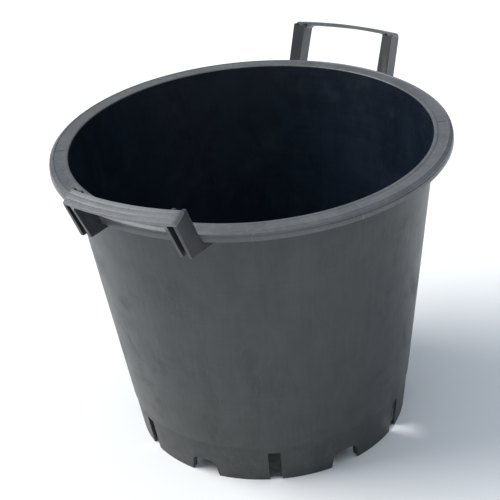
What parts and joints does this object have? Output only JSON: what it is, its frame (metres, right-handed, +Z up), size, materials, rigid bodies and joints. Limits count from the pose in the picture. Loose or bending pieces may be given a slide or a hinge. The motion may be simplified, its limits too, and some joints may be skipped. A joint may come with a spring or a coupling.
{
  "type": "florist bucket",
  "caption": "Round tapered plastic tub with a flat rim, two fixed loop handles and a raised base with radial drainage channels, side slots and drain holes.",
  "frame": {"origin": "middle of the foot, on the surface that the tub stands on", "axes": "+Z up along the tub's axis; +X out through the middle of handle a, with handle b opposite on -X"},
  "size_m": [0.4972, 0.42, 0.3702],
  "materials": {
    "black_plastic": "satin black moulded plastic with fine grain, faint flow marks and scuffs"
  },
  "bodies": {
    "root": {"tub_wall": "black_plastic", "foot_band": "black_plastic", "rim_flange": "black_plastic", "base_hub": "black_plastic", "base_sector_1": "black_plastic", "base_sector_2": "black_plastic", "base_sector_3": "black_plastic", "base_sector_4": "black_plastic", "base_sector_5": "black_plastic", "base_sector_6": "black_plastic", "drain_channel_1": "black_plastic", "drain_channel_2": "black_plastic", "drain_channel_3": "black_plastic", "drain_channel_4": "black_plastic", "drain_channel_5": "black_plastic", "drain_channel_6": "black_plastic", "rim_web_1": "black_plastic", "rim_web_2": "black_plastic", "rim_web_3": "black_plastic", "rim_web_4": "black_plastic", "handle_a_grip": "black_plastic", "handle_a_arm_1": "black_plastic", "handle_a_arm_2": "black_plastic", "handle_b_grip": "black_plastic", "handle_b_arm_1": "black_plastic", "handle_b_arm_2": "black_plastic"}
  },
  "joints": []
}
